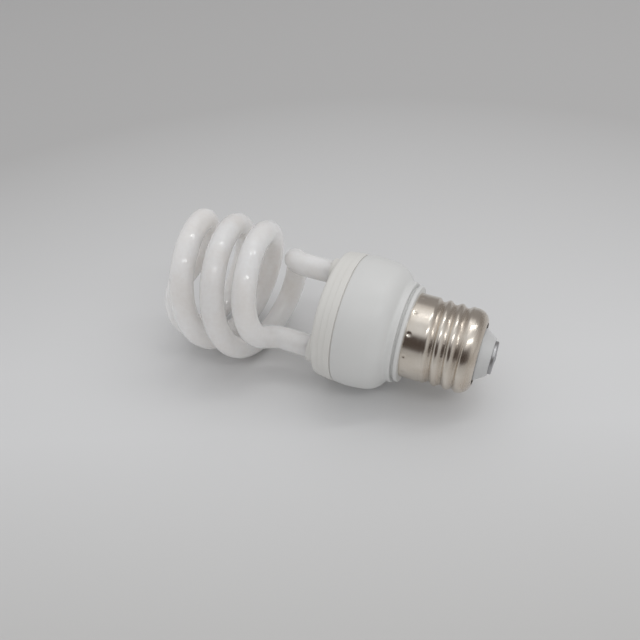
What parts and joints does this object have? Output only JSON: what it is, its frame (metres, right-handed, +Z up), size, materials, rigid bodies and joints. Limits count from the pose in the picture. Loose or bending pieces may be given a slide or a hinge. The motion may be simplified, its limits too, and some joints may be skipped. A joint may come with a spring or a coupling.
{
  "type": "spiral compact fluorescent bulb",
  "caption": "Compact fluorescent bulb: a double-wound glass spiral on two legs, a round white ballast housing with its circuit board inside, and an Edison screw cap.",
  "frame": {"origin": "on the lamp's axis at the outer face of the centre contact", "axes": "+X along the lamp's axis out of the cap, from the glass coil to the contact; +Z up as the bulb lies"},
  "size_m": [0.1083, 0.0464, 0.0466],
  "materials": {
    "glass_coat": "glossy milky white coated glass",
    "holder_plastic": "satin white moulded plastic",
    "case_plastic": "satin cool white moulded plastic",
    "cap_nickel": "nickel-plated brass, slightly dull",
    "insulator": "pale grey insulator",
    "contact_nickel": "nickel-plated contact",
    "tin_solder": "tin solder",
    "cement": "white silicone cement",
    "board": "paper-based circuit board",
    "copper_wire": "enamelled copper wire",
    "tinned_wire": "tinned wire",
    "ferrite": "dark ferrite",
    "bobbin_plastic": "moulded bobbin plastic",
    "sleeve": "shrunk sleeve on an aluminium can",
    "film_coat": "dipped resin",
    "transistor_resin": "moulded resin",
    "resistor_coat": "lacquered body"
  },
  "bodies": {
    "root": {"discharge_tube": "glass_coat", "tube_holder": "holder_plastic", "ballast_housing": "case_plastic", "screw_shell": "cap_nickel", "cap_insulator": "insulator", "centre_contact": "contact_nickel", "contact_solder": "tin_solder", "leg_cement": "cement", "circuit_board": "board", "wrap_posts": "tinned_wire", "filament_leads": "tinned_wire", "centre_wire": "tinned_wire", "shell_wire": "tinned_wire", "choke_core": "ferrite", "choke_bobbin": "bobbin_plastic", "choke_winding": "copper_wire", "bulk_capacitor": "sleeve", "drive_ring": "ferrite", "drive_windings": "copper_wire", "resonant_capacitor": "film_coat", "blocking_capacitor": "film_coat", "filter_core": "ferrite", "filter_winding": "copper_wire", "transistors": "transistor_resin", "rectifier_diodes": "transistor_resin", "start_resistors": "resistor_coat", "trigger_diac": "transistor_resin", "fusible_resistor": "resistor_coat"}
  },
  "joints": []
}
